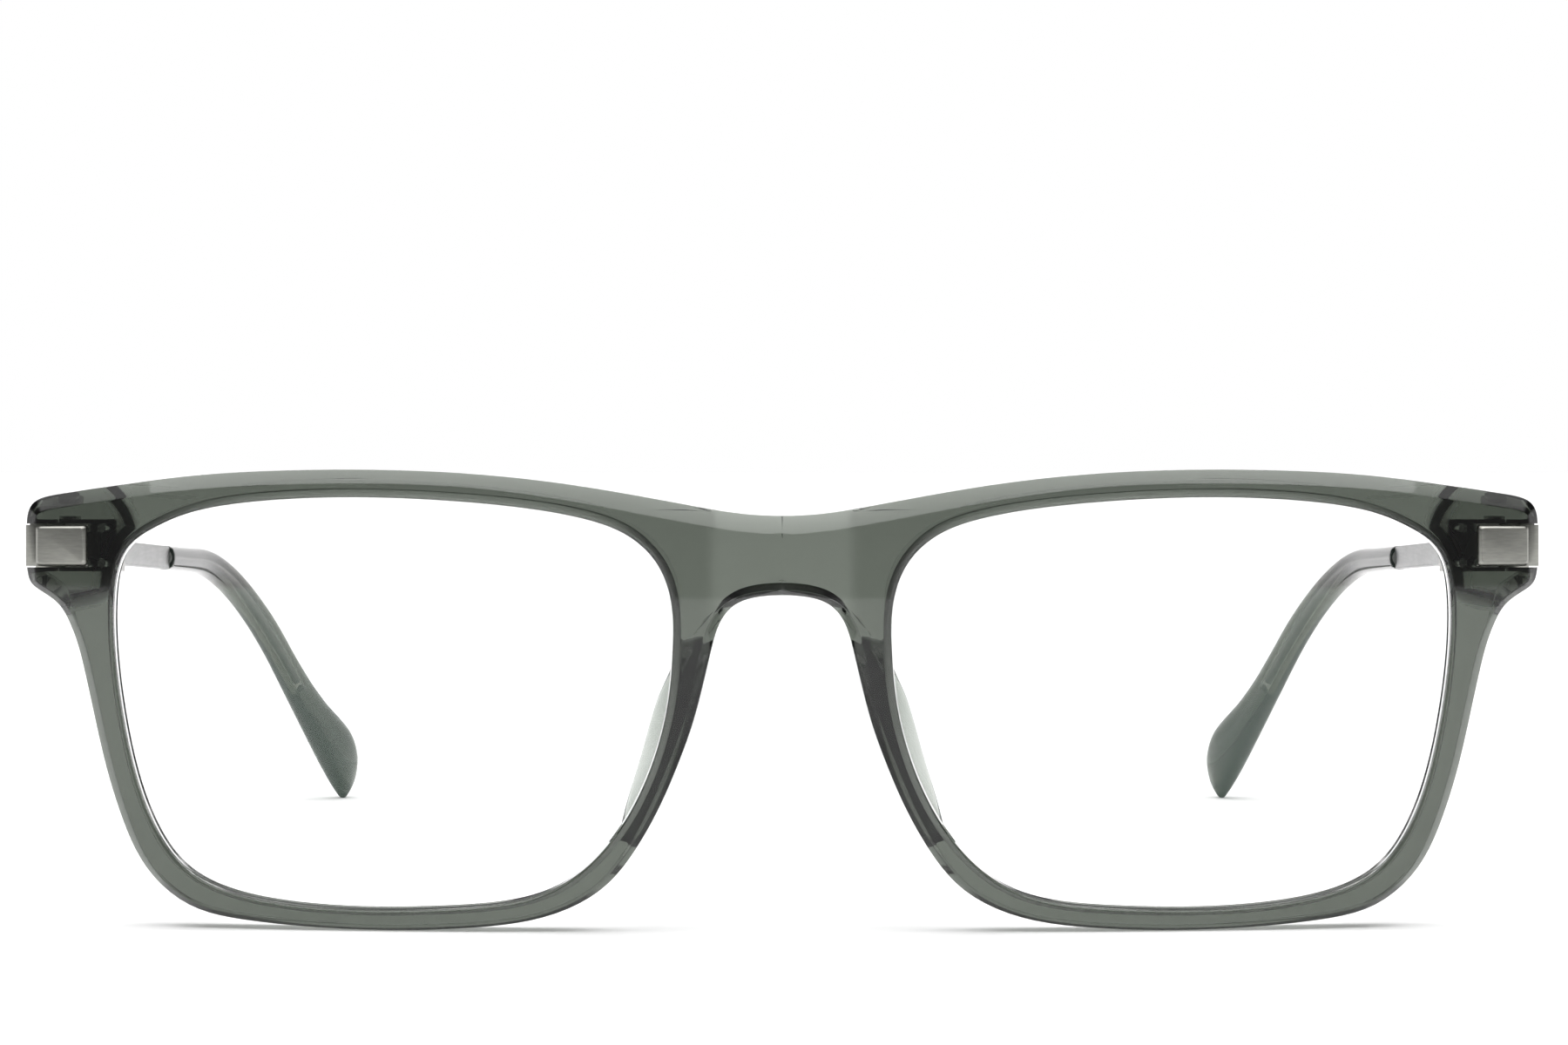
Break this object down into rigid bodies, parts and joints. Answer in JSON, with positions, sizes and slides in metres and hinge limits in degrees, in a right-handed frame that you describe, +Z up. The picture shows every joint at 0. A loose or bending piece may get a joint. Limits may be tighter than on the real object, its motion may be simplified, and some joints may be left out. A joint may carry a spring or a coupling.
{
  "type": "rectangular eyeglasses",
  "caption": "Full-rim rectangular eyeglasses with a glossy acetate front, clear lenses, metal end blocks and slim metal temples that fold on screw hinges.",
  "frame": {"origin": "on the surface that the open glasses stand on, below the middle of the overall box", "axes": "+X to the wearer's left, +Y back towards the wearer's ears, +Z up"},
  "size_m": [0.1404, 0.1398, 0.0426],
  "materials": {
    "front_acetate": "polished see-through grey-green acetate",
    "pad_acetate": "polished clear grey-green acetate",
    "tip_acetate": "polished see-through grey-green acetate",
    "clear_lens": "clear, coated",
    "satin_metal": "satin, finely brushed",
    "bar_metal": "satin, brushed along the temple",
    "hinge_metal": "satin",
    "screw_metal": "turned, bright",
    "washer_nylon": "natural nylon"
  },
  "bodies": {
    "front": {"front_frame": "front_acetate", "lens_right": "clear_lens", "lens_left": "clear_lens", "nose_pad_right": "pad_acetate", "nose_pad_left": "pad_acetate", "end_block_right": "satin_metal", "end_block_left": "satin_metal", "front_hinge_leaf_right": "hinge_metal", "front_hinge_leaf_left": "hinge_metal", "leaf_screws_right": "screw_metal", "leaf_screws_left": "screw_metal", "hinge_washers_right": "washer_nylon", "hinge_washers_left": "washer_nylon", "hinge_screw_right": "screw_metal", "hinge_screw_left": "screw_metal"},
    "temple_right": {"temple_hinge_leaf_right": "hinge_metal", "temple_bar_right": "bar_metal", "temple_tip_right": "tip_acetate"},
    "temple_left": {"temple_hinge_leaf_left": "hinge_metal", "temple_bar_left": "bar_metal", "temple_tip_left": "tip_acetate"}
  },
  "joints": [
    {"name": "fold_right", "type": "hinge", "parent": "front", "child": "temple_right", "pos_m": [-0.06605, -0.05529, 0.03516], "axis": [0, 0, -1], "range_deg": [0, 75]},
    {"name": "fold_left", "type": "hinge", "parent": "front", "child": "temple_left", "pos_m": [0.06605, -0.05529, 0.03516], "axis": [0, 0, 1], "range_deg": [0, 82]}
  ]
}
